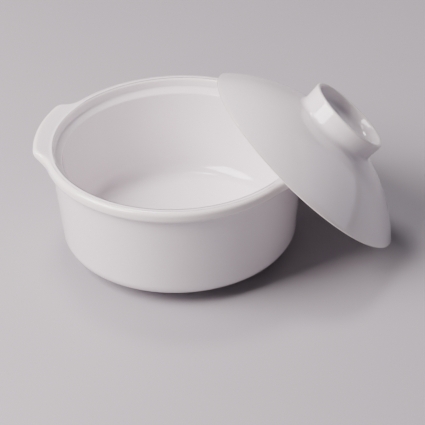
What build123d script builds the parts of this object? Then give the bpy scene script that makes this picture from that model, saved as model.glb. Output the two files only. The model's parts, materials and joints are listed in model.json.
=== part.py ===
from build123d import *
import math
import os

# A round covered serving bowl in thick glazed porcelain, with its lid taken off and leaned on it.
#
# The origin is on the bowl's axis, in the plane that its foot ring rests on. +Z is up and +X runs
# along the bowl's two lugs. All sizes are in millimetres and all angles in degrees.
# The lid is made level about its own axis, with its flat seating face at zero height, and is then
# turned and moved to where it leans on the rim, over one lug, with its lower edge on the table.

# ---------------------------------------------------------------- bowl: overall
rim_radius = 102.5            # outside of the rolled rim
rim_height = 92.4             # top of the rim above the table
body_wall = 8.6               # thickness of the side wall just under the rim
rim_overhang = 4.95           # how far the rolled rim stands out past the side wall
body_draft = 5.55             # slope of the side wall from upright
body_corner = 10.5            # rounding between the side wall and the underside
underside_height = 9.0        # underside of the bowl above the table
floor_thickness = 6.0
floor_corner = 14.0           # rounding between the inner wall and the floor

# ---------------------------------------------------------------- bowl: rim
bead_height = 10.4            # depth of the rolled rim, top to bottom
bead_under_slope = 32.4       # rise of the rim's underside, outwards
bead_round = 3.0              # rounding of the rim's and the lugs' outer edges
bead_root_round = 1.6         # hollow rounding between rim and side wall
rim_inner_round = 1.8

# ---------------------------------------------------------------- bowl: ledge for the lid
seat_depth = 6.6              # lowest part of the upright wall around the lid, below the rim
ledge_drop = 3.8              # fall of the ledge towards the inside
ledge_width = 5.2
ledge_round = 1.6
gallery_draft = 6.0           # slope of the wall around the lid, from upright

# ---------------------------------------------------------------- bowl: foot ring
foot_inset = 20.5             # how far in the foot ring is from the bottom of the side wall
foot_width = 5.2
foot_draft = 12.0
foot_round = 1.2
foot_root_round = 2.4

# ---------------------------------------------------------------- bowl: lugs
lug_reach = 8.3               # how far a lug stands out past the rim
lug_rise = 12.5               # slope of a lug's top, rising outwards
lug_rise_inset = 4.0          # how far inside the rim's outside the top starts to rise
lug_half_angle = 17.0         # half the angle that a lug's outer edge takes up
lug_corner = 8.75             # rounding of a lug's two outer corners, seen from above
lug_blend = 28.8              # hollow rounding where a lug flows into the rim
lug_count = 2

# ---------------------------------------------------------------- lid
lid_gap = 1.15                # room between the lid's edge and the wall around it
lid_dome_radius = 133.0       # radius of the outer dome
lid_edge = 3.1                # thickness of the lid's edge
lid_wall = 3.8                # thickness of the dome

# ---------------------------------------------------------------- knob: an open ring on the lid
knob_radius = 34.5            # outside of the ring at its lip
knob_height = 17.2            # lip above the place where the ring leaves the dome
knob_wall = 3.4               # thickness of the ring at its lip
knob_flare = 3.0              # slope of the ring's outside from upright
knob_inner_draft = 9.0        # slope of the ring's inside from upright
knob_depth = 11.5             # lip down to the floor inside the ring
knob_lip_round = 1.5
knob_root_round = 2.2
knob_floor_round = 5.0

# ---------------------------------------------------------------- where the lid leans
lean_tilt = 45.65             # from level
lean_azimuth = 23.75          # compass direction that the lid slopes down towards, from +X to +Y
lean_sideways = -9.8          # lid's centre beside the upright plane through the bowl's axis
lean_gap = 0.3                # air left between the lid and the bowl
table_gap = 0.05              # air left between the lid's lower edge and the table
lean_step = 0.001             # how exactly the lid's place is found
lean_samples = 60             # points tried along each stretch of the rim's outline

# ---------------------------------------------------------------- worked out from the sizes above
bead_bottom = rim_height - bead_height
body_top_radius = rim_radius - rim_overhang
floor_height = underside_height + floor_thickness
band_inner_radius = body_top_radius - body_wall / 8
body_bottom_radius = body_top_radius - (bead_bottom - underside_height) * math.tan(math.radians(body_draft))

inner_top_radius = body_top_radius - body_wall
gallery_radius = inner_top_radius + ledge_width
gallery_bottom = rim_height - seat_depth
gallery_top_radius = gallery_radius + seat_depth * math.tan(math.radians(gallery_draft))
ledge_inner_height = gallery_bottom - ledge_drop
floor_radius = inner_top_radius - (ledge_inner_height - floor_height) * math.tan(math.radians(body_draft))

foot_radius = body_bottom_radius - foot_inset
foot_top_radius = foot_radius + underside_height * math.tan(math.radians(foot_draft))
foot_inner_radius = foot_radius - foot_width
foot_inner_top = foot_inner_radius - underside_height * math.tan(math.radians(foot_draft))

lug_radius = rim_radius + lug_reach
bead_under_start = body_top_radius + bead_root_round

lid_radius = gallery_radius - lid_gap
lid_dome_centre = lid_edge - math.sqrt(lid_dome_radius**2 - (lid_radius - lid_edge / 2) ** 2)
lid_inner_dome = lid_dome_radius - lid_wall
lid_seat_inner = math.sqrt(lid_inner_dome**2 - lid_dome_centre**2)
lid_top = lid_dome_centre + lid_dome_radius
lid_crown = lid_dome_centre + lid_inner_dome

knob_root_height = lid_dome_centre + math.sqrt(lid_dome_radius**2 - knob_radius**2)
knob_top = knob_root_height + knob_height
knob_root_radius = knob_radius - knob_height * math.tan(math.radians(knob_flare))
knob_floor_height = knob_top - knob_depth
knob_inner_radius = knob_radius - knob_wall
knob_floor_radius = knob_inner_radius - knob_depth * math.tan(math.radians(knob_inner_draft))


def turned(*corners):
    """A solid of revolution about Z from (radius, height, rounding) corners of a closed section."""
    points = [(radius, height) for radius, height, _ in corners]
    rounds = [rounding for _, _, rounding in corners]
    outline = FilletPolyline(*points, radius=rounds, close=True)
    section = Plane.XZ * make_face(outline)
    return revolve(section, Axis.Z)


def bowl_body():
    """Foot ring, floor, side wall and the ledge that the lid sits on."""
    return turned(
        (0, floor_height, 0),
        (0, underside_height, 0),
        (foot_inner_top, underside_height, foot_root_round),
        (foot_inner_radius, 0, foot_round),
        (foot_radius, 0, foot_round),
        (foot_top_radius, underside_height, foot_root_round),
        (body_bottom_radius, underside_height, body_corner),
        (body_top_radius, bead_bottom, 0),
        (body_top_radius, rim_height, 0),
        (gallery_top_radius, rim_height, rim_inner_round),
        (gallery_radius, gallery_bottom, ledge_round / 2),
        (inner_top_radius, ledge_inner_height, ledge_round),
        (floor_radius, floor_height, floor_corner),
    )


def polar(radius, degrees):
    """A point in the XY plane at this distance and compass direction from the bowl's axis."""
    return Vector(radius * math.cos(math.radians(degrees)), radius * math.sin(math.radians(degrees)))


def arc_about(centre, start, end):
    """The shorter arc from start to end about a centre."""
    middle = (start + end) / 2 - centre
    radius = (start - centre).length
    return ThreePointArc(start, centre + middle.normalized() * radius, end)


def lug_outline():
    """Rim and lugs seen from above.

    Each lug's outer edge is an arc about the bowl's axis. A corner arc turns it inwards, and a hollow
    arc that touches both the corner arc and the rim's circle carries it into the rim.
    """
    corner_distance = lug_radius - lug_corner
    blend_distance = rim_radius + lug_blend
    touch = lug_corner + lug_blend
    cosine = (corner_distance**2 + blend_distance**2 - touch**2) / (2 * corner_distance * blend_distance)
    blend_angle = lug_half_angle + math.degrees(math.acos(cosine))
    arcs = []
    for index in range(lug_count):
        facing = index * 360 / lug_count
        following = facing + 360 / lug_count
        arcs.append(
            ThreePointArc(
                polar(lug_radius, facing - lug_half_angle),
                polar(lug_radius, facing),
                polar(lug_radius, facing + lug_half_angle),
            )
        )
        for side in (1, -1):
            corner = polar(corner_distance, facing + side * lug_half_angle)
            blend = polar(blend_distance, facing + side * blend_angle)
            meet = corner + (blend - corner).normalized() * lug_corner
            arcs.append(arc_about(corner, polar(lug_radius, facing + side * lug_half_angle), meet))
            arcs.append(arc_about(blend, meet, polar(rim_radius, facing + side * blend_angle)))
        arcs.append(
            ThreePointArc(
                polar(rim_radius, facing + blend_angle),
                polar(rim_radius, (facing + following) / 2),
                polar(rim_radius, following - blend_angle),
            )
        )
    return make_face(Wire(arcs))


def top_at(radius):
    """Height of the rim's or a lug's top at this distance from the bowl's axis."""
    return rim_height + max(0, radius - rim_radius + lug_rise_inset) * math.tan(math.radians(lug_rise))


def outline_edges(band):
    """The band's edges that run along the outline of the rim and lugs, above and below."""
    outline = lug_outline().face().outer_wire()
    found = []
    for edge in band.edges():
        middle = edge.position_at(0.5)
        climb = abs((edge @ 0).Z - (edge @ 1).Z)
        on_outline = outline.distance_to(Vertex(middle.X, middle.Y, 0)) < lean_step
        if on_outline and climb < 0.9 * edge.length:
            found.append(edge)
    return found


def rim_and_lugs():
    """The rolled rim and its two lugs, one rounded band that flares upwards at the lugs."""
    beyond = lug_radius + lug_reach
    envelope = turned(
        (band_inner_radius, rim_height, 0),
        (band_inner_radius, bead_bottom, 0),
        (bead_under_start, bead_bottom, 0),
        (beyond, bead_bottom + (beyond - bead_under_start) * math.tan(math.radians(bead_under_slope)), 0),
        (beyond, top_at(beyond), 0),
        (rim_radius - lug_rise_inset, rim_height, 0),
    )
    column = extrude(Pos(0, 0, underside_height) * lug_outline(), 2 * rim_height, dir=(0, 0, 1))
    band = envelope & column
    return fillet(outline_edges(band), bead_round)


def make_bowl():
    """The bowl in one piece, as it comes out of the kiln."""
    bowl = bowl_body() + rim_and_lugs()
    root = bowl.edges().filter_by(
        lambda e: abs(e.center().Z - bead_bottom) < 0.01 and abs(e.radius - body_top_radius) < 0.01
        if e.geom_type == GeomType.CIRCLE else False
    )
    return fillet(root, bead_root_round)


def dome_shell():
    """The lid's domed wall, with a half-round edge and a flat seating face under it."""
    edge_centre = lid_radius - lid_edge / 2
    crown = (0, lid_crown)
    seat_start = (lid_seat_inner, 0)
    seat_end = (edge_centre, 0)
    edge_top = (edge_centre, lid_edge)
    top = (0, lid_top)
    centre = Vector(0, lid_dome_centre)
    outline = Wire([
        arc_about(centre, Vector(*crown), Vector(*seat_start)),
        Line(seat_start, seat_end),
        ThreePointArc(seat_end, (lid_radius, lid_edge / 2), edge_top),
        arc_about(centre, Vector(*edge_top), Vector(*top)),
        Line(top, crown),
    ])
    return revolve(Plane.XZ * make_face(outline), Axis.Z)


def knob_ring():
    """The open ring on top of the lid, which is what a hand lifts it by, with its shallow floor."""
    column = turned(
        (0, 0, 0),
        (knob_root_radius, 0, 0),
        (knob_root_radius, knob_root_height, 0),
        (knob_radius, knob_top, knob_lip_round),
        (knob_inner_radius, knob_top, knob_lip_round),
        (knob_floor_radius, knob_floor_height, knob_floor_round),
        (0, knob_floor_height, 0),
    )
    return column - Pos(0, 0, lid_dome_centre) * Sphere(lid_inner_dome)


def make_lid():
    """The lid in one piece, level, with its seating face at zero height."""
    hollow = Pos(0, 0, knob_floor_height) * Cylinder(
        knob_floor_radius, lid_top, align=(Align.CENTER, Align.CENTER, Align.MIN)
    )
    lid = (dome_shell() - hollow) + knob_ring()
    junction = lid.edges().filter_by(is_knob_root)
    return fillet(junction, knob_root_round)


def is_knob_root(edge):
    """True for the circle where the outside of the knob meets the dome."""
    middle = edge.position_at(0.5)
    near = abs(math.hypot(middle.X, middle.Y) - knob_root_radius) < knob_wall / 4
    return near and knob_root_height - lid_wall / 2 < middle.Z < knob_root_height + lid_wall / 2


def lean_location(distance):
    """The tilted lid's place, standing on its lower edge with its centre this far out from the bowl's axis."""
    edge_centre = lid_radius - lid_edge / 2
    tilt = math.radians(lean_tilt)
    rise = table_gap + lid_edge / 2 + edge_centre * math.sin(tilt) - lid_edge / 2 * math.cos(tilt)
    return Rot(0, 0, lean_azimuth) * Pos(distance, lean_sideways, rise) * Rot(0, lean_tilt, 0)


def room_under_lid(point):
    """Distance from a point, in the level lid's own frame, to the lid's underside, seat or edge."""
    across = math.hypot(point.X, point.Y)
    edge_centre = lid_radius - lid_edge / 2
    to_edge = math.hypot(across - edge_centre, point.Z - lid_edge / 2) - lid_edge / 2
    to_corner = math.hypot(across - lid_seat_inner, point.Z)
    room = min(to_edge, to_corner)
    if point.Z > 0:
        room = min(room, lid_inner_dome - math.hypot(across, point.Z - lid_dome_centre))
    elif lid_seat_inner < across < edge_centre:
        room = min(room, -point.Z)
    return room


def lean_distance():
    """How far out the lid's centre is when its underside just clears the rounded edge of the rim and lugs."""
    edge_points = []
    for edge in lug_outline().edges():
        for index in range(lean_samples):
            on_edge = edge.position_at(index / lean_samples)
            along = edge.tangent_at(index / lean_samples)
            inwards = Vector(-along.Y, along.X)
            if inwards.dot(on_edge) > 0:
                inwards = inwards * -1
            inset = on_edge + inwards * bead_round
            edge_points.append(Vector(inset.X, inset.Y, top_at(on_edge.length) - bead_round))
    near, far = lid_radius / 2, rim_radius + lid_radius
    while far - near > lean_step:
        middle = (near + far) / 2
        to_lid = lean_location(middle).inverse()
        room = min(room_under_lid((to_lid * Pos(point)).position) for point in edge_points)
        if room < bead_round + lean_gap:
            near = middle
        else:
            far = middle
    return far


bowl = make_bowl()
distance = lean_distance()
lid = lean_location(distance) * make_lid()

os.makedirs("parts", exist_ok=True)
for name, piece in (("bowl", bowl), ("lid", lid)):
    export_step(piece, f"parts/{name}.step")

place = lean_location(distance).position
print(f"lid's centre ({place.X:.3f}, {place.Y:.3f}, {place.Z:.3f}), {distance:.3f} mm out from the bowl's axis")
print(f"lid radius {lid_radius:.2f} mm, opening {gallery_radius:.2f} mm, ledge at {ledge_inner_height:.2f} mm")
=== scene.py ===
"""A covered serving bowl in glazed porcelain: the bowl, and its lid leaning on the rim.

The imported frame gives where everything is. This script replaces the two plain CAD pieces with finely
shaped ones in the same places, dresses them in glaze and bare biscuit, and lights them on a pale table.
The pieces' lengths are in millimetres and turned to metres in the meshes. The studio's are in metres.
"""

import json
import logging
import math
from dataclasses import dataclass, field
from enum import Enum

import bpy
import numpy as np
from mathutils import Matrix, Vector


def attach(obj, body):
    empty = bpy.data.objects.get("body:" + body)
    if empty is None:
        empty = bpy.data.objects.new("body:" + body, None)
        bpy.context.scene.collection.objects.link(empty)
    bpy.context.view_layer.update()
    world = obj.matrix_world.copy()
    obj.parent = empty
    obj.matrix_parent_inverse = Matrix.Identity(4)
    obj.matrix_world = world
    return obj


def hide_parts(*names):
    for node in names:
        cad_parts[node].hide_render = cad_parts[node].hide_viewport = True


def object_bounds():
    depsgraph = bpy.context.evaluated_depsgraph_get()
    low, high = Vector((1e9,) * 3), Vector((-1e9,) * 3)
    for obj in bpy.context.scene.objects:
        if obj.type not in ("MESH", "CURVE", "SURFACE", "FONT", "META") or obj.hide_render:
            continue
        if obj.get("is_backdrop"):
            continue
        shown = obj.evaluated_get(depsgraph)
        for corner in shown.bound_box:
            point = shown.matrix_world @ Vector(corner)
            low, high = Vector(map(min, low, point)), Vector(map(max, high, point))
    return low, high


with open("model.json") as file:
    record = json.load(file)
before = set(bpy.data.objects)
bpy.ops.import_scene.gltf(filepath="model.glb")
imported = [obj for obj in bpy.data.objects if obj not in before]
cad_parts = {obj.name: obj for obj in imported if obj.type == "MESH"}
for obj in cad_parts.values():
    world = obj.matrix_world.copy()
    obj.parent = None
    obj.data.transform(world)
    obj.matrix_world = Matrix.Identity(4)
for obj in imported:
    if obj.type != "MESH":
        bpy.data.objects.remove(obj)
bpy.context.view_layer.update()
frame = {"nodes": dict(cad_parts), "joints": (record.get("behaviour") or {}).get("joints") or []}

log = logging.getLogger("covered_bowl")

MM = 0.001

# In a hollow, the change in glaze colour that these set is partly painted shade.
TIGHT_ROUND = 2.5      # mm, an edge or hollow this tight has the full change in glaze thickness
SUPPORT_STEP = 0.35    # mm, distance of a straight's first extra point from its end
GLAZE_CREEP = 2.2      # mm, how far the glaze's change in thickness spreads from an edge or hollow
DOME_POINTS = 44       # points of a section along each side of the lid's dome


# ---------------------------------------------------------------------------------------- sections


class Corner(Enum):
    """How a corner of a section is cut."""

    SHARP = 0
    ARC = 1
    BLEND = 2


@dataclass
class Section:
    """A closed section from the axis, over the piece's upper side, and back under it to the axis.

    Each corner has a radius from the axis, a height and a rounding, and any of them may be an array
    with one value for each direction around the axis.

    Attributes:
        directions: Directions around the axis, in radians.
        arc_points: Points on each rounded corner.
        straight_points: Points added along each straight stretch.
        corners: Each corner's cut, and its radius, height and rounding as (direction, 3).
    """

    directions: np.ndarray
    arc_points: int = 10
    straight_points: int = 4
    corners: list = field(default_factory=list)

    def add(self, radius: float | np.ndarray, height: float | np.ndarray,
            rounding: float | np.ndarray = 0.0, kind: Corner = Corner.ARC) -> None:
        """Adds one corner.

        Args:
            radius: Distance from the axis.
            height: Height above the piece's base plane.
            rounding: Radius of the corner's arc, or the reach of its blend, or zero for a sharp one.
            kind: How the corner is cut.
        """
        if np.max(rounding) == 0:
            kind = Corner.SHARP
        values = [np.broadcast_to(np.asarray(v, float), self.directions.shape)
                  for v in (radius, height, rounding)]
        self.corners.append((kind, np.stack(values, axis=1)))

    def add_dome(self, centre_height: float, dome_radius: float, start: float, end: float) -> None:
        """Adds points on a sphere centred on the axis, by their distances from the axis.

        Args:
            centre_height: Height of the sphere's centre.
            dome_radius: Radius of the sphere.
            start: First point's distance from the axis.
            end: Last point's distance from the axis.
        """
        reaches = np.linspace(start, end, DOME_POINTS)
        for reach, rise in zip(reaches, np.sqrt(dome_radius**2 - reaches**2)):
            self.add(reach, centre_height + rise)

    def points(self) -> tuple[np.ndarray, np.ndarray]:
        """Rounds the corners and spaces out the straights.

        A corner's arc touches both its sides. Its centre is on the line that halves the corner, at
        rounding / sin(half angle), and the arc runs between the two touching points.

        Returns:
            Points as (direction, point, 2) and how sharply the glazed surface turns at each point, from
            -1 in a tight hollow through 0 on a flat to 1 on a tight edge.
        """
        chains, turns = [], []
        last = len(self.corners) - 1
        for index, (kind, corner) in enumerate(self.corners):
            here = corner[:, :2]
            if kind is Corner.SHARP or index in (0, last):
                chains.append(here[:, None, :])
                turns.append(np.zeros(1))
                continue
            back = self.corners[index - 1][1][:, :2] - here
            ahead = self.corners[index + 1][1][:, :2] - here
            if kind is Corner.BLEND:
                arc, turn = self._blend(here, back, ahead, corner[:, 2])
            else:
                arc, turn = self._arc(here, back, ahead, corner[:, 2])
            chains.append(arc)
            turns.append(np.full(arc.shape[1], turn))
        return self._spread(chains, turns)

    def _arc(self, here: np.ndarray, back: np.ndarray, ahead: np.ndarray,
             rounding: np.ndarray) -> tuple[np.ndarray, float]:
        """One corner's arc for every direction, and how sharply it turns.

        Args:
            here: The corner.
            back: Vector to the corner before it.
            ahead: Vector to the corner after it.
            rounding: Radius of the arc.

        Returns:
            The arc's points and its signed sharpness.
        """
        back_unit = back / np.linalg.norm(back, axis=1, keepdims=True)
        ahead_unit = ahead / np.linalg.norm(ahead, axis=1, keepdims=True)
        cosine = np.sum(back_unit * ahead_unit, axis=1)
        half = np.arccos(np.clip(cosine, -1, 1)) / 2
        middle = back_unit + ahead_unit
        middle /= np.linalg.norm(middle, axis=1, keepdims=True)
        centre = here + middle * (rounding / np.sin(half))[:, None]
        reach = (rounding / np.tan(half))[:, None]
        first = here + back_unit * reach - centre
        final = here + ahead_unit * reach - centre
        sweep = (np.pi - 2 * half)[:, None, None]
        share = np.linspace(0, 1, self.arc_points)[None, :, None]
        arc = (np.sin((1 - share) * sweep) * first[:, None] + np.sin(share * sweep) * final[:, None])
        arc = centre[:, None] + arc / np.sin(sweep)
        left = back[:, 0] * ahead[:, 1] - back[:, 1] * ahead[:, 0]
        sharpness = min(1.0, TIGHT_ROUND / float(np.mean(rounding)))
        return arc, sharpness * float(np.sign(np.mean(left)))

    def _blend(self, here: np.ndarray, back: np.ndarray, ahead: np.ndarray,
               reach: np.ndarray) -> tuple[np.ndarray, float]:
        """One corner's parabola for every direction, which may be straight in some of them.

        It starts and ends at the reach from the corner, and touches both sides there.

        Args:
            here: The corner.
            back: Vector to the corner before it.
            ahead: Vector to the corner after it.
            reach: Distance along each side that the parabola takes.

        Returns:
            The parabola's points and its sharpness, which is taken as none.
        """
        first = here + back / np.linalg.norm(back, axis=1, keepdims=True) * reach[:, None]
        final = here + ahead / np.linalg.norm(ahead, axis=1, keepdims=True) * reach[:, None]
        share = np.linspace(0, 1, self.arc_points)[None, :, None]
        curve = ((1 - share) ** 2 * first[:, None] + 2 * share * (1 - share) * here[:, None]
                 + share**2 * final[:, None])
        return curve, 0.0

    def _spread(self, chains: list, turns: list) -> tuple[np.ndarray, np.ndarray]:
        """Joins the corners' points with extra points along each straight.

        The first and last extra points are close to the straight's ends, so that a flat stays flat
        in smooth shading right up to the arc beside it.

        Args:
            chains: Each corner's points as (direction, point, 2).
            turns: Sharpness at each of those points.

        Returns:
            All the points in one array, and the sharpness at each.
        """
        joined, sharpness = [chains[0]], [turns[0]]
        for before, after, turn in zip(chains[:-1], chains[1:], turns[1:]):
            start, end = before[:, -1], after[:, 0]
            length = float(np.mean(np.linalg.norm(end - start, axis=1)))
            if length > SUPPORT_STEP * 4:
                near = SUPPORT_STEP / length
                shares = np.linspace(near, 1 - near, self.straight_points)
                joined.append(start[:, None] + (end - start)[:, None] * shares[None, :, None])
                sharpness.append(np.zeros(self.straight_points))
            joined.append(after)
            sharpness.append(turn)
        return np.concatenate(joined, axis=1), np.concatenate(sharpness)


def spread_glaze(points: np.ndarray, turns: np.ndarray) -> np.ndarray:
    """Softens the sharpness along the section, as runny glaze does.

    Each value becomes the average of those around it, weighted by a bell curve of their distance along
    the section and by the length of section that each stands for.

    Args:
        points: Section points as (direction, point, 2).
        turns: Sharpness at each point.

    Returns:
        Softened sharpness at each point.
    """
    steps = np.linalg.norm(np.diff(points[0], axis=0), axis=1)
    along = np.concatenate([[0.0], np.cumsum(steps)])
    share = np.gradient(along)
    bell = np.exp(-((along[:, None] - along[None, :]) ** 2) / (2 * GLAZE_CREEP**2)) * share[None, :]
    return bell @ turns / bell.sum(axis=1)


def surface_of_section(name: str, section: Section, place: Matrix) -> bpy.types.Object:
    """Carries a section around the axis into one closed mesh.

    A point (r, h) in direction a goes to (r cos a, r sin a, h). The first and last points are on the
    axis, so each of them is one vertex with a fan of triangles round it.

    Args:
        name: The object's name.
        section: The section, whose directions go once round.
        place: Where the piece's own frame is in the row's frame, in metres.

    Returns:
        The object, at the origin, with its place in its mesh and, in an attribute, the glaze's thickness
        at edges and hollows, which also sets where the material paints shade in the hollows.
    """
    points, turns = section.points()
    glaze = spread_glaze(points, turns)
    count, length = points.shape[:2]
    around = section.directions[:, None]
    rings = np.stack([points[..., 0] * np.cos(around), points[..., 0] * np.sin(around),
                      points[..., 1]], axis=-1)[:, 1:-1]
    poles = np.array([[0, 0, points[0, 0, 1]], [0, 0, points[0, -1, 1]]])
    vertices = np.concatenate([rings.reshape(-1, 3), poles]) * MM
    turn = np.array(place.to_3x3())
    vertices = vertices @ turn.T + np.array(place.translation)

    inner = length - 2
    here = np.arange(count)[:, None] * inner + np.arange(inner - 1)[None, :]
    beside = np.roll(np.arange(count), -1)[:, None] * inner + np.arange(inner - 1)[None, :]
    quads = np.stack([here, here + 1, beside + 1, beside], axis=-1).reshape(-1, 4)
    ring = np.arange(count) * inner
    ring_beside = np.roll(ring, -1)
    top, bottom = count * inner, count * inner + 1
    top_fan = np.stack([np.full(count, top), ring, ring_beside], axis=-1)
    low, low_beside = ring + inner - 1, ring_beside + inner - 1
    bottom_fan = np.stack([low, np.full(count, bottom), low_beside], axis=-1)

    mesh = mesh_from_faces(name, vertices, quads, np.concatenate([top_fan, bottom_fan]))
    values = np.concatenate([np.tile(glaze[1:-1], count), glaze[[0, -1]]]).astype(np.float32)
    layer = mesh.attributes.new("glaze", "FLOAT", "POINT")
    layer.data.foreach_set("value", values)
    piece = bpy.data.objects.new(name, mesh)
    bpy.context.scene.collection.objects.link(piece)
    return piece


def mesh_from_faces(name: str, vertices: np.ndarray, quads: np.ndarray,
                    triangles: np.ndarray) -> bpy.types.Mesh:
    """Puts arrays of vertices, quads and triangles into a smooth-shaded mesh.

    Args:
        name: The mesh's name.
        vertices: Places as (vertex, 3), in metres.
        quads: Vertex numbers as (face, 4).
        triangles: Vertex numbers as (face, 3).

    Returns:
        The mesh.
    """
    mesh = bpy.data.meshes.new(name)
    mesh.vertices.add(len(vertices))
    mesh.vertices.foreach_set("co", vertices.astype(np.float32).ravel())
    loops = np.concatenate([quads.ravel(), triangles.ravel()]).astype(np.int32)
    sizes = np.concatenate([np.full(len(quads), 4), np.full(len(triangles), 3)])
    starts = np.concatenate([[0], np.cumsum(sizes)[:-1]]).astype(np.int32)
    mesh.loops.add(len(loops))
    mesh.loops.foreach_set("vertex_index", loops)
    mesh.polygons.add(len(sizes))
    mesh.polygons.foreach_set("loop_start", starts)
    mesh.polygons.foreach_set("use_smooth", np.ones(len(sizes), bool))
    mesh.update(calc_edges=True)
    mesh.validate()
    return mesh


# ---------------------------------------------------------------------------------------- finishes


def linear(hex_colour: str) -> tuple[float, float, float, float]:
    """Turns an sRGB colour to a linear one.

    Args:
        hex_colour: A hash and six hex digits.

    Returns:
        Linear red, green and blue, and full alpha.
    """
    channels = [int(hex_colour[i:i + 2], 16) / 255 for i in (1, 3, 5)]
    curve = [c / 12.92 if c <= 0.04045 else ((c + 0.055) / 1.055) ** 2.4 for c in channels]
    return (*curve, 1.0)


def add_node(tree: bpy.types.NodeTree, kind: str, settings: dict | None = None,
             **links: object) -> bpy.types.Node:
    """Adds a node, with its settings and inputs.

    Args:
        tree: The material's node tree.
        kind: The node's Blender type.
        settings: Properties to set on the node.
        **links: For each input, by its name with underscores for spaces or by "i" and its number,
            either a value or an output socket to link.

    Returns:
        The node.
    """
    node = tree.nodes.new(kind)
    for key, value in (settings or {}).items():
        setattr(node, key, value)
    for key, value in links.items():
        socket = node.inputs[int(key[1:])] if key[1:].isdigit() else node.inputs[key.replace("_", " ")]
        if isinstance(value, bpy.types.NodeSocket):
            tree.links.new(value, socket)
        else:
            socket.default_value = value
    return node


def start_material(name: str) -> tuple[bpy.types.Material, bpy.types.NodeSocket]:
    """Starts an empty material.

    Args:
        name: The material's name.

    Returns:
        The material, and the Object coordinates that its patterns lie on.
    """
    material = bpy.data.materials.new(name)
    material.use_nodes = True
    material.node_tree.nodes.clear()
    return material, add_node(material.node_tree, "ShaderNodeTexCoord").outputs["Object"]


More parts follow.
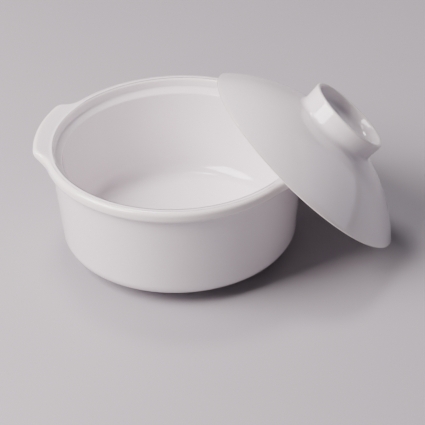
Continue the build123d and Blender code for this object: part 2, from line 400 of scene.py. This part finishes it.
@dataclass(frozen=True)
class GlazedPorcelain:
    """Hard-paste porcelain under a clear feldspar glaze, dipped and fired at about 1300 degrees.

    The body is a faintly cool white that lets a little light in, and the glaze over it is as glossy as
    glass. The glaze draws thin on edges, where the body looks warmer and drier, and pools in hollows.
    There it is painted a darker, bluer colour, partly for the deeper glaze and partly as painted shade,
    strong enough to darken the groove under the rim like its shadow. It levels into very long low waves
    that bend reflections.

    Attributes:
        name: The material's name.
        body: Colour of the body through an even coat of glaze.
        shade: Colour of the slightly darker clouds in the body.
        thin: Colour where the glaze is thin.
        pooled_glaze_and_shade: Colour of the hollows, where the glaze is thick, made darker still as
            painted shade.
        cloud_mm: Size of the clouds in the body.
        wave_mm: Length of the waves in the glaze.
        wave_height_mm: Height of those waves.
        peel_mm: Size of the fine dimples that fired glaze has.
        peel_height_mm: Depth of those dimples.
        film_mm: Size of the faint smears that handling leaves on the gloss.
        glaze_ior: Refractive index of feldspar glaze.
    """

    name: str = "glazed porcelain"
    body: str = "#EAE6E8"
    shade: str = "#E3DEE2"
    thin: str = "#F0EAE4"
    # Darker than thick clear glaze alone would look: this colour of the hollows is partly painted shade.
    pooled_glaze_and_shade: str = "#CFCBD2"
    cloud_mm: float = 38.0
    wave_mm: float = 26.0
    wave_height_mm: float = 0.035
    peel_mm: float = 1.6
    peel_height_mm: float = 0.0012
    film_mm: float = 14.0
    glaze_ior: float = 1.5

    def build(self) -> bpy.types.Material:
        """Makes the material.

        Returns:
            The material, with its patterns on Object coordinates and its glaze on an attribute.
        """
        material, place = start_material(self.name)
        tree = material.node_tree
        glaze = add_node(tree, "ShaderNodeAttribute", {"attribute_name": "glaze"}).outputs["Fac"]
        clouds = add_node(tree, "ShaderNodeTexNoise", Vector=place, Scale=1 / (self.cloud_mm * MM),
                          Detail=3.0, Roughness=0.55)
        body = add_node(tree, "ShaderNodeMix", {"data_type": "RGBA"}, i0=clouds.outputs["Fac"],
                        i6=linear(self.body), i7=linear(self.shade))
        thin_share = add_node(tree, "ShaderNodeMapRange", Value=glaze, From_Min=0.1, From_Max=0.9,
                              To_Min=0.0, To_Max=0.75)
        thinned = add_node(tree, "ShaderNodeMix", {"data_type": "RGBA"},
                           i0=thin_share.outputs["Result"], i6=body.outputs["Result"],
                           i7=linear(self.thin))
        # Painted shade: hollows, the tightest most, are darkened towards this colour, partly for pooled
        # glaze and partly as shade.
        pool_and_shade_share = add_node(tree, "ShaderNodeMapRange", Value=glaze, From_Min=-0.1, From_Max=-0.9,
                              To_Min=0.0, To_Max=0.7)
        colour = add_node(tree, "ShaderNodeMix", {"data_type": "RGBA"},
                          i0=pool_and_shade_share.outputs["Result"], i6=thinned.outputs["Result"],
                          i7=linear(self.pooled_glaze_and_shade))
        shader = add_node(
            tree, "ShaderNodeBsdfPrincipled", {"subsurface_method": "RANDOM_WALK"},
            Base_Color=colour.outputs["Result"], Roughness=self._film(tree, place),
            IOR=self.glaze_ior,
            Subsurface_Weight=0.12, Subsurface_Radius=(0.9, 0.75, 0.65), Subsurface_Scale=0.004,
            Coat_Weight=0.35, Coat_Roughness=0.03, Coat_IOR=self.glaze_ior,
            Normal=self._relief(tree, place))
        add_node(tree, "ShaderNodeOutputMaterial", Surface=shader.outputs["BSDF"])
        return material

    def _film(self, tree: bpy.types.NodeTree, place: bpy.types.NodeSocket) -> bpy.types.NodeSocket:
        """A near-perfect gloss with a faint uneven film on it.

        Args:
            tree: The material's node tree.
            place: Object coordinates.

        Returns:
            The roughness.
        """
        smears = add_node(tree, "ShaderNodeTexNoise", Vector=place, Scale=1 / (self.film_mm * MM),
                          Detail=4.0, Roughness=0.6, Distortion=1.2)
        return add_node(tree, "ShaderNodeMapRange", Value=smears.outputs["Fac"], From_Min=0.35,
                        From_Max=0.75, To_Min=0.07, To_Max=0.15).outputs["Result"]

    def _relief(self, tree: bpy.types.NodeTree, place: bpy.types.NodeSocket) -> bpy.types.NodeSocket:
        """The glaze's long waves and, on them, its fine dimples.

        Args:
            tree: The material's node tree.
            place: Object coordinates.

        Returns:
            The bent normals.
        """
        waves = add_node(tree, "ShaderNodeTexNoise", Vector=place, Scale=1 / (self.wave_mm * MM),
                         Detail=1.0)
        wavy = add_node(tree, "ShaderNodeBump", Height=waves.outputs["Fac"], Strength=1.0,
                        Distance=self.wave_height_mm * MM)
        dimples = add_node(tree, "ShaderNodeTexNoise", Vector=place, Scale=1 / (self.peel_mm * MM),
                           Detail=2.0)
        peel = add_node(tree, "ShaderNodeBump", Height=dimples.outputs["Fac"], Strength=1.0,
                        Distance=self.peel_height_mm * MM, Normal=wavy.outputs["Normal"])
        return peel.outputs["Normal"]


@dataclass(frozen=True)
class BareBiscuit:
    """Fired porcelain wiped clean of glaze, as under a foot ring, where it would stick to the kiln shelf.

    It is matt, a little greyer than the glazed body, finely grained, and picks up grey marks from
    the tables that it stands on.

    Attributes:
        name: The material's name.
        body: Colour of clean biscuit.
        scuff: Colour of its grey marks.
        grain_mm: Size of its grain, drawn coarser than the real powder so that it shows.
        grain_height_mm: Height of its grain.
        scuff_mm: Size of its marks.
    """

    name: str = "bare porcelain biscuit"
    body: str = "#DDD8D2"
    scuff: str = "#A9A39D"
    grain_mm: float = 0.5
    grain_height_mm: float = 0.05
    scuff_mm: float = 6.0

    def build(self) -> bpy.types.Material:
        """Makes the material.

        Returns:
            The material, with its patterns on Object coordinates.
        """
        material, place = start_material(self.name)
        tree = material.node_tree
        marks = add_node(tree, "ShaderNodeTexNoise", Vector=place, Scale=1 / (self.scuff_mm * MM),
                         Detail=5.0, Roughness=0.7)
        share = add_node(tree, "ShaderNodeMapRange", Value=marks.outputs["Fac"], From_Min=0.5,
                         From_Max=0.8, To_Min=0.0, To_Max=0.8)
        colour = add_node(tree, "ShaderNodeMix", {"data_type": "RGBA"}, i0=share.outputs["Result"],
                          i6=linear(self.body), i7=linear(self.scuff))
        grain = add_node(tree, "ShaderNodeTexNoise", Vector=place, Scale=1 / (self.grain_mm * MM),
                         Detail=2.0)
        bump = add_node(tree, "ShaderNodeBump", Height=grain.outputs["Fac"], Strength=0.6,
                        Distance=self.grain_height_mm * MM)
        shader = add_node(tree, "ShaderNodeBsdfPrincipled", Base_Color=colour.outputs["Result"],
                          Roughness=0.75, IOR=1.5, Normal=bump.outputs["Normal"])
        add_node(tree, "ShaderNodeOutputMaterial", Surface=shader.outputs["BSDF"])
        return material


@dataclass(frozen=True)
class MattTable:
    """A pale sealed table top, rolled matt, that gives a soft even bounce and no mirror image.

    Attributes:
        name: The material's name.
        body: Its pale grey.
        mottle: Colour of the faintly darker clouds in it.
        mottle_mm: Size of those clouds.
    """

    name: str = "pale matt table"
    body: str = "#A3A1A5"
    mottle: str = "#9D9BA0"
    mottle_mm: float = 140.0

    def build(self) -> bpy.types.Material:
        """Makes the material.

        Returns:
            The material, with its patterns on Object coordinates.
        """
        material, place = start_material(self.name)
        tree = material.node_tree
        mottling = add_node(tree, "ShaderNodeTexNoise", Vector=place,
                            Scale=1 / (self.mottle_mm * MM), Detail=3.0)
        colour = add_node(tree, "ShaderNodeMix", {"data_type": "RGBA"}, i0=mottling.outputs["Fac"],
                          i6=linear(self.body), i7=linear(self.mottle))
        shader = add_node(tree, "ShaderNodeBsdfPrincipled", Base_Color=colour.outputs["Result"],
                          Roughness=0.6, IOR=1.45)
        add_node(tree, "ShaderNodeOutputMaterial", Surface=shader.outputs["BSDF"])
        return material


# ---------------------------------------------------------------------------------------- the bowl


@dataclass
class Bowl:
    """The bowl: foot ring, floor, side wall, ledge for the lid, rolled rim and two lugs.

    Its frame is the row's own, with the foot on zero height and the lugs along X. Lengths are in
    millimetres and angles in degrees. A name that ends in round is the radius of one corner's arc.

    Attributes:
        rim_radius: Outside of the rolled rim.
        rim_height: Top of the rim above the table.
        wall_top_radius: Outside of the side wall, just under the rim.
        wall_thickness: Thickness of the side wall there.
        draft: Slope of the side wall from upright.
        underside: Height of the bowl's underside.
        floor: Height of its floor.
        bead_depth: Depth of the rolled rim.
        bead_under_start: Radius at which the rim's underside would reach the rim's lowest height.
        bead_under_rise: How far the rim's underside rises for each millimetre outwards.
        crest_width: Width of the level crest between the opening and the sloping top.
        crest_blend: Reach of the soft bend at the crest's outer edge.
        seat_depth: Lowest part of the wall around the lid, below the rim.
        ledge_width: Width of the ledge that the lid rests on.
        ledge_drop: Fall of the ledge towards the inside.
        gallery_draft: Slope of the wall around the lid, from upright.
        foot_radius: Outside of the foot ring at the table.
        foot_width: Width of its resting face.
        foot_draft: Slope of its sides from upright.
        foot_bare_height: Height below which the foot has no glaze.
        lug_reach: How far a lug stands out past the rim.
        lug_half_angle: Half the angle that a lug's outer edge takes up.
        lug_corner: Rounding of a lug's outer corners, seen from above.
        lug_blend: Hollow rounding where a lug flows into the rim, seen from above.
        lug_dish: Fall from the crest into a lug's slightly hollow top.
        lug_edge_lift: Rise of a lug's outer edge above the rim.
        directions: Directions around the axis that the mesh is worked out in.
    """

    rim_radius: float = 102.49
    rim_height: float = 92.6
    wall_top_radius: float = 97.5
    wall_thickness: float = 8.55
    draft: float = 5.55
    corner_round: float = 10.5
    underside: float = 9.0
    floor: float = 15.0
    floor_round: float = 14.0

    bead_depth: float = 10.4
    bead_under_start: float = 99.4
    bead_under_rise: float = 0.634
    bead_top_round: float = 3.5
    bead_low_round: float = 3.8
    bead_root_round: float = 0.5
    crest_width: float = 2.6
    crest_blend: float = 1.6

    seat_depth: float = 6.6
    ledge_width: float = 5.2
    ledge_drop: float = 3.8
    ledge_round: float = 2.0
    gallery_draft: float = 6.0
    gallery_root_round: float = 1.2
    crest_round: float = 1.8

    foot_radius: float = 69.9
    foot_width: float = 5.2
    foot_draft: float = 12.0
    foot_round: float = 1.4
    foot_root_round: float = 3.0
    foot_bare_height: float = 0.9

    lug_reach: float = 8.28
    lug_half_angle: float = 17.0
    lug_corner: float = 8.75
    lug_blend: float = 28.8
    lug_dish: float = 0.5
    lug_edge_lift: float = 2.6
    lug_edge_round: float = 3.0

    directions: int = 400

    def outline(self, angles: np.ndarray) -> np.ndarray:
        """Outer radius of the rim and lugs in each direction.

        Away from the lugs it is the rim's radius, and on a lug's outer edge it is the lug's. Between
        them a ray from the axis meets first the lug's corner arc and then the hollow arc that touches
        both that and the rim: for an arc of radius c whose centre is at distance d and at an angle t
        from the ray, the ray meets it at d cos t plus or minus the root of c^2 - (d sin t)^2.

        Args:
            angles: Directions in radians.

        Returns:
            Radii in millimetres.
        """
        away = np.abs((np.degrees(angles) + 90) % 180 - 90)
        lug_radius = self.rim_radius + self.lug_reach
        corner_at = lug_radius - self.lug_corner
        blend_at = self.rim_radius + self.lug_blend
        touch = self.lug_corner + self.lug_blend
        cosine = (corner_at**2 + blend_at**2 - touch**2) / (2 * corner_at * blend_at)
        blend_angle = self.lug_half_angle + math.degrees(math.acos(cosine))
        from_corner = np.radians(away - self.lug_half_angle)
        from_blend = np.radians(blend_angle - away)
        corner_room = np.clip(self.lug_corner**2 - (corner_at * np.sin(from_corner)) ** 2, 0, None)
        blend_room = np.clip(self.lug_blend**2 - (blend_at * np.sin(from_blend)) ** 2, 0, None)
        on_corner = corner_at * np.cos(from_corner) + np.sqrt(corner_room)
        on_blend = blend_at * np.cos(from_blend) - np.sqrt(blend_room)

        start = corner_at * np.exp(1j * math.radians(self.lug_half_angle))
        end = blend_at * np.exp(1j * math.radians(blend_angle))
        meeting = math.degrees(np.angle(start + (end - start) * self.lug_corner / touch))
        radii = np.where(away < meeting, on_corner, on_blend)
        radii = np.where(away <= self.lug_half_angle, lug_radius, radii)
        return np.where(away >= blend_angle, self.rim_radius, radii)

    def section(self) -> Section:
        """Works out the bowl's section in every direction.

        Returns:
            The section, from the middle of the floor over the rim to the middle of the underside.
        """
        angles = np.linspace(0, 2 * np.pi, self.directions, endpoint=False)
        edge = self.outline(angles)
        lug = (edge - self.rim_radius) / self.lug_reach
        slope = math.tan(math.radians(self.draft))
        bead_bottom = self.rim_height - self.bead_depth
        inner_top = self.wall_top_radius - self.wall_thickness
        gallery = inner_top + self.ledge_width
        gallery_bottom = self.rim_height - self.seat_depth
        gallery_top = gallery + self.seat_depth * math.tan(math.radians(self.gallery_draft))
        ledge_inner = gallery_bottom - self.ledge_drop
        floor_radius = inner_top - (ledge_inner - self.floor) * slope
        wall_bottom = self.wall_top_radius - (bead_bottom - self.underside) * slope
        foot_spread = self.underside * math.tan(math.radians(self.foot_draft))
        foot_inner = self.foot_radius - self.foot_width

        section = Section(angles)
        section.add(0.0, self.floor)
        section.add(floor_radius, self.floor, self.floor_round)
        section.add(inner_top, ledge_inner, self.ledge_round)
        section.add(gallery, gallery_bottom, self.gallery_root_round)
        section.add(gallery_top, self.rim_height, self.crest_round)
        section.add(gallery_top + self.crest_width, self.rim_height - self.lug_dish * lug,
                    self.crest_blend, Corner.BLEND)
        section.add(edge, self.rim_height + self.lug_edge_lift * lug,
                    self.bead_top_round + (self.lug_edge_round - self.bead_top_round) * lug)
        section.add(edge, bead_bottom + (edge - self.bead_under_start) * self.bead_under_rise,
                    self.bead_low_round + (self.lug_edge_round - self.bead_low_round) * lug)
        section.add(self.wall_top_radius, bead_bottom, self.bead_root_round)
        section.add(wall_bottom, self.underside, self.corner_round)
        section.add(self.foot_radius + foot_spread, self.underside, self.foot_root_round)
        section.add(self.foot_radius, 0.0, self.foot_round)
        section.add(foot_inner, 0.0, self.foot_round)
        section.add(foot_inner - foot_spread, self.underside, self.foot_root_round)
        section.add(0.0, self.underside)
        return section

    def build(self, glazed: bpy.types.Material, bare: bpy.types.Material) -> bpy.types.Object:
        """Makes the bowl, bare under its foot and glazed everywhere else.

        Args:
            glazed: Finish of the glazed surface.
            bare: Finish of the foot's resting edge.

        Returns:
            The bowl's object.
        """
        piece = surface_of_section("porcelain_bowl", self.section(), Matrix.Identity(4))
        mesh = piece.data
        mesh.materials.append(glazed)
        mesh.materials.append(bare)
        centres = np.zeros(len(mesh.polygons) * 3)
        mesh.polygons.foreach_get("center", centres)
        under_foot = centres.reshape(-1, 3)[:, 2] < self.foot_bare_height * MM
        mesh.polygons.foreach_set("material_index", under_foot.astype(np.int32))
        mesh.update()
        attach(piece, "bowl")
        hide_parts("bowl")
        log.info("%s: %d faces", piece.name, len(mesh.polygons))
        return piece


# ---------------------------------------------------------------------------------------- the lid


@dataclass
class Lid:
    """The lid: a shallow dome with a thin rounded edge, a flat seating face and an open ring knob.

    Its own frame has the axis upright and the seating face at zero height. Lengths are in millimetres
    and angles in degrees. A name that ends in round is the radius of one corner's arc.

    Attributes:
        radius: Outside of the lid.
        dome_radius: Radius of the outer dome.
        edge_height: Height of the outer dome at the edge inset.
        edge_inset: Distance in from the outside at which that height is measured.
        wall: Thickness of the dome.
        dome_margin: Distance in from the outside at which the dome's own points stop.
        crown_margin: Distance out from the axis at which the inner dome's own points stop.
        knob_radius: Outside of the ring knob at its lip.
        knob_height: Height of the lip above the dome at that radius.
        knob_wall: Thickness of the ring at its lip.
        knob_flare: Slope of the ring's outside from upright.
        knob_inner_draft: Slope of the ring's inside from upright.
        knob_depth: Lip down to the floor inside the ring.
        directions: Directions around the axis that the mesh is worked out in.
        straight_points: Points added along each straight stretch of the section.
    """

    radius: float = 93.0
    dome_radius: float = 133.0
    edge_height: float = 3.1
    edge_inset: float = 1.5
    edge_upper_round: float = 1.45
    edge_lower_round: float = 1.45
    wall: float = 3.8
    seat_round: float = 0.9
    dome_margin: float = 1.0
    crown_margin: float = 1.5

    knob_radius: float = 34.5
    knob_height: float = 17.2
    knob_wall: float = 3.4
    knob_flare: float = 3.0
    knob_inner_draft: float = 9.0
    knob_depth: float = 11.5
    knob_lip_round: float = 1.6
    knob_root_round: float = 4.5
    knob_floor_round: float = 6.0

    directions: int = 240
    straight_points: int = 3

    @property
    def dome_centre(self) -> float:
        """Height of the outer dome's centre, which puts the dome's edge at the stated height."""
        return self.edge_height - math.sqrt(self.dome_radius**2 - (self.radius - self.edge_inset) ** 2)

    def section(self) -> Section:
        """Works out the lid's section.

        Returns:
            The section, from the middle of the knob's floor over the dome to the crown under it.
        """
        centre, outer, inner = self.dome_centre, self.dome_radius, self.dome_radius - self.wall
        root_height = centre + math.sqrt(outer**2 - self.knob_radius**2)
        lip = root_height + self.knob_height
        root_radius = self.knob_radius - self.knob_height * math.tan(math.radians(self.knob_flare))
        root_on_dome = centre + math.sqrt(outer**2 - root_radius**2)
        knob_floor = lip - self.knob_depth
        inner_radius = self.knob_radius - self.knob_wall
        floor_radius = inner_radius - self.knob_depth * math.tan(math.radians(self.knob_inner_draft))
        seat_inner = math.sqrt(inner**2 - centre**2)
        edge_top = centre + math.sqrt(outer**2 - self.radius**2)

        section = Section(np.linspace(0, 2 * np.pi, self.directions, endpoint=False),
                          straight_points=self.straight_points)
        section.add(0.0, knob_floor)
        section.add(floor_radius, knob_floor, self.knob_floor_round)
        section.add(inner_radius, lip, self.knob_lip_round)
        section.add(self.knob_radius, lip, self.knob_lip_round)
        section.add(root_radius, root_on_dome, self.knob_root_round)
        section.add_dome(centre, outer, root_radius + self.knob_root_round,
                         self.radius - self.dome_margin)
        section.add(self.radius, edge_top, self.edge_upper_round)
        section.add(self.radius, 0.0, self.edge_lower_round)
        section.add(seat_inner, 0.0, self.seat_round)
        section.add_dome(centre, inner, seat_inner - self.seat_round, self.crown_margin)
        section.add(0.0, centre + inner)
        return section

    def place(self) -> Matrix:
        """Works out where the lid leans.

        The joint lid_lift turns the leaning lid until it is level with its axis on the bowl's. So the
        level lid, with its seating face as low as the turned CAD lid's lowest point, is turned
        back by the joint's whole range.

        Returns:
            The lid's own frame in the row's frame, in metres.
        """
        joint = next(j for j in frame["joints"] if j["name"] == "lid_lift")
        pivot = Vector(joint["pos_m"])
        axis = Vector(joint["axis"])
        angle = math.radians(joint["range_deg"][1])
        mesh = frame["nodes"]["lid"].data
        places = np.zeros(len(mesh.vertices) * 3)
        mesh.vertices.foreach_get("co", places)
        swing = Matrix.Translation(pivot) @ Matrix.Rotation(angle, 4, axis) @ Matrix.Translation(-pivot)
        lifted = places.reshape(-1, 3) @ np.array(swing.to_3x3()).T + np.array(swing.translation)
        return swing.inverted() @ Matrix.Translation((0, 0, float(lifted[:, 2].min())))

    def build(self, glazed: bpy.types.Material) -> bpy.types.Object:
        """Makes the lid where it leans.

        Args:
            glazed: Finish of the whole lid.

        Returns:
            The lid's object.
        """
        piece = surface_of_section("porcelain_lid", self.section(), self.place())
        piece.data.materials.append(glazed)
        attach(piece, "lid")
        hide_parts("lid")
        log.info("%s: %d faces", piece.name, len(piece.data.polygons))
        return piece


# ---------------------------------------------------------------------------------------- the studio


@dataclass(frozen=True)
class SoftBox:
    """One soft light, placed by direction and distance from the middle of the bowl.

    Attributes:
        name: The light's name.
        bearing: Compass direction from +X towards +Y, in degrees.
        elevation: Height above the table, in degrees.
        distance: Distance in metres.
        width: Size across in metres.
        height: Size upwards in metres.
        power: Power in watts.
        colour: Its colour.
    """

    name: str
    bearing: float
    elevation: float
    distance: float
    width: float
    height: float
    power: float
    colour: str

    def build(self, aim: Vector) -> bpy.types.Object:
        """Makes the light, facing the aim.

        Args:
            aim: The point that it faces.

        Returns:
            The light's object.
        """
        light = bpy.data.lights.new(self.name, "AREA")
        light.shape = "RECTANGLE"
        light.size = self.width
        light.size_y = self.height
        light.energy = self.power
        light.color = linear(self.colour)[:3]
        lamp = bpy.data.objects.new(self.name, light)
        lamp.location = aim + direction(self.bearing, self.elevation) * self.distance
        lamp.rotation_euler = (aim - lamp.location).to_track_quat("-Z", "Y").to_euler()
        bpy.context.scene.collection.objects.link(lamp)
        return lamp


def direction(bearing: float, elevation: float) -> Vector:
    """Turns two angles to a direction.

    Args:
        bearing: Compass direction from +X towards +Y, in degrees.
        elevation: Height above level, in degrees.

    Returns:
        A unit vector.
    """
    level = math.cos(math.radians(elevation))
    return Vector((level * math.cos(math.radians(bearing)), level * math.sin(math.radians(bearing)),
                   math.sin(math.radians(elevation))))


@dataclass
class Studio:
    """A pale table, soft lights and the camera, in metres and degrees.

    Attributes:
        table_size: Length and width of the table.
        table_gap: Air left under the object, so that its foot does not share a plane with the table.
        sky: Colour of the room all round.
        sky_strength: Brightness of the room.
        light_aim: Point that every light faces.
        aim: Point that the camera looks at.
        camera_bearing: Compass direction of the camera from the bowl's axis.
        camera_reach: Its level distance from that axis.
        camera_height: Its height above the foot's plane.
        camera_roll: Its turn about its own axis.
        sensor_width: Width of its sensor, in millimetres.
        lens: Its focal length, in millimetres.
        sight: How far it sees.
        lights: The soft lights.
    """

    table_size: float = 8.0
    table_gap: float = 0.0002
    sky: str = "#CCC4C9"
    sky_strength: float = 0.22
    light_aim: tuple[float, float, float] = (0.0, 0.0, 0.05)
    aim: tuple[float, float, float] = (0.02493, 0.00639, 0.02544)
    camera_bearing: float = -75.63
    camera_reach: float = 1.75399
    camera_height: float = 1.179
    camera_roll: float = -2.0
    sensor_width: float = 36.0
    lens: float = 227.02
    sight: float = 50.0
    lights: tuple[SoftBox, ...] = (
        SoftBox("left key", -148.0, 42.0, 1.3, 0.9, 0.9, 56.0, "#FFF2F4"),
        SoftBox("overhead", 128.0, 69.0, 1.5, 0.35, 0.35, 12.0, "#FFF4F7"),
        SoftBox("far window", 28.0, 22.0, 1.6, 1.1, 1.1, 4.0, "#F2EEFF"),
    )

    def build(self) -> None:
        """Makes the table, the sky, the lights and the camera."""
        self._table()
        self._sky()
        for light in self.lights:
            light.build(Vector(self.light_aim))
            log.info("light: %s", light.name)
        self._camera()

    def _table(self) -> None:
        """Makes a flat sheet just under the lowest point of the object."""
        half = self.table_size / 2
        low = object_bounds()[0][2] - self.table_gap
        corners = np.array([[-half, -half, low], [half, -half, low], [half, half, low],
                            [-half, half, low]])
        sheet = mesh_from_faces("table", corners, np.array([[0, 1, 2, 3]]), np.zeros((0, 3), int))
        table = bpy.data.objects.new("table", sheet)
        bpy.context.scene.collection.objects.link(table)
        table.data.materials.append(MattTable().build())
        table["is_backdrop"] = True

    def _sky(self) -> None:
        """Makes an even pale room all round."""
        world = bpy.data.worlds.new("pale room")
        world.use_nodes = True
        background = world.node_tree.nodes["Background"]
        background.inputs["Color"].default_value = linear(self.sky)
        background.inputs["Strength"].default_value = self.sky_strength
        bpy.context.scene.world = world

    def _camera(self) -> None:
        """Makes a long-lens camera that looks down at the bowl and leans a little to one side."""
        data = bpy.data.cameras.new("camera")
        data.lens = self.lens
        data.sensor_width = self.sensor_width
        data.clip_end = self.sight
        camera = bpy.data.objects.new("camera", data)
        aim = Vector(self.aim)
        camera.location = direction(self.camera_bearing, 0) * self.camera_reach
        camera.location.z = self.camera_height
        look = (aim - camera.location).to_track_quat("-Z", "Y").to_matrix().to_4x4()
        roll = Matrix.Rotation(math.radians(self.camera_roll), 4, "Z")
        camera.matrix_world = Matrix.Translation(camera.location) @ look @ roll
        bpy.context.scene.collection.objects.link(camera)
        bpy.context.scene.camera = camera


def main() -> None:
    """Builds the studio, the bowl and the lid."""
    logging.basicConfig(level=logging.INFO, format="%(name)s %(message)s")
    Studio().build()
    glazed = GlazedPorcelain().build()
    Bowl().build(glazed, BareBiscuit().build())
    Lid().build(glazed)


if __name__ == "__main__":
    main()
